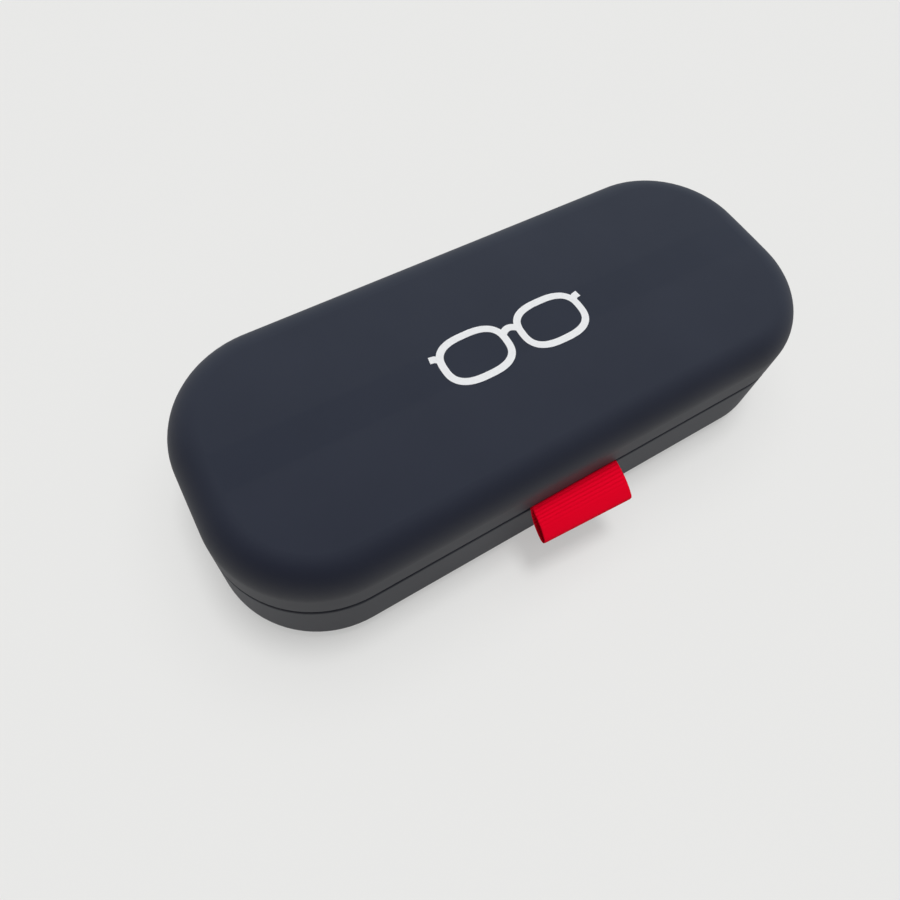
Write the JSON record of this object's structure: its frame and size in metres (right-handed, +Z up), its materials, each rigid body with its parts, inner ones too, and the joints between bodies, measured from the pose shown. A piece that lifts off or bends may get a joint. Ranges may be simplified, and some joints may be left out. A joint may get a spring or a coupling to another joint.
{
  "type": "glasses case",
  "caption": "Hard clamshell glasses case: leatherette over pressed steel, velvet-lined trays, a riveted snap hinge along the back and a folded ribbon pull tab at the front.",
  "frame": {"origin": "the middle of the flat bottom face that the case stands on", "axes": "+X along the case, +Y towards the hinge at the back, -Y towards the pull tab at the front, +Z up through the lid"},
  "size_m": [0.16, 0.0765, 0.038],
  "materials": {
    "leatherette": "matte soft-touch, very fine grain",
    "pressed_steel": "bare pressed sheet",
    "liner_plastic": "vacuum-formed sheet",
    "velvet": "short-pile velvet",
    "hinge_steel": "nickel-plated, satin",
    "rivet_steel": "nickel-plated, domed",
    "pin_steel": "drawn wire",
    "spring_steel": "blued spring steel",
    "ribbon": "ribbed grosgrain ribbon"
  },
  "bodies": {
    "base": {"base_cover": "leatherette", "base_shell": "pressed_steel", "base_liner_tray": "liner_plastic", "base_velvet": "velvet", "base_hinge_leaf": "hinge_steel", "base_hinge_rivets": "rivet_steel", "hinge_pin": "pin_steel", "snap_spring": "spring_steel", "snap_spring_rivets": "rivet_steel"},
    "lid": {"lid_cover": "leatherette", "lid_shell": "pressed_steel", "lid_liner_tray": "liner_plastic", "lid_velvet": "velvet", "lid_hinge_leaf": "hinge_steel", "lid_hinge_rivets": "rivet_steel", "pull_tab": "ribbon"}
  },
  "joints": [
    {"name": "lid_hinge", "type": "hinge", "parent": "base", "child": "lid", "pos_m": [0, 0.03305, 0.0215], "axis": [-1, 0, 0], "range_deg": [0, 105], "deforming": ["snap_spring"]}
  ]
}
